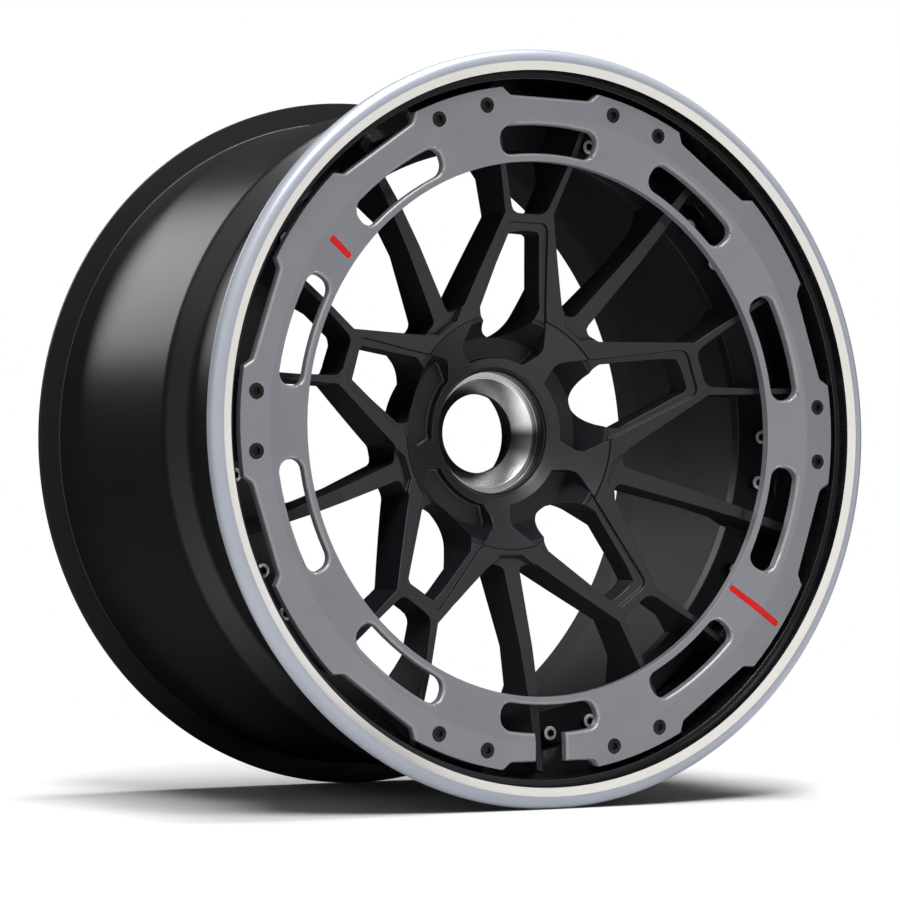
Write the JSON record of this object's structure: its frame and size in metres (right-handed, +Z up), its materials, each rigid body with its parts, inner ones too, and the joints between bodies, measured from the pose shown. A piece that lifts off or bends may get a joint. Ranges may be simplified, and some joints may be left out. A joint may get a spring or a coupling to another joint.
{
  "type": "forged wheel",
  "caption": "Deep-dish centre-lock road wheel with forked forged spokes, a bolted cover ring over the spoke ends and a polished lip.",
  "frame": {"origin": "on the wheel's axis, in the middle plane between the rim flanges", "axes": "+Y along the axis from the outer face to the mounting side, +Z up, +X to the right seen from the outer face"},
  "size_m": [0.5732, 0.3362, 0.5732],
  "materials": {
    "polished_aluminium": "mirror polished",
    "black_aluminium": "satin black coating",
    "grey_aluminium": "satin grey anodised",
    "turned_steel": "fine turned",
    "black_steel": "black oxide",
    "bright_steel": "bright plated",
    "seal_rubber": "matt",
    "black_plastic": "matt"
  },
  "bodies": {
    "root": {"outer_lip": "polished_aluminium", "inner_barrel": "black_aluminium", "centre_disc": "black_aluminium", "hub_insert": "turned_steel", "aero_ring": "grey_aluminium", "ring_bolts": "black_steel", "assembly_bolts": "bright_steel", "valve_stem": "bright_steel", "valve_seal": "seal_rubber", "valve_nut": "bright_steel", "valve_cap": "black_plastic"}
  },
  "joints": []
}
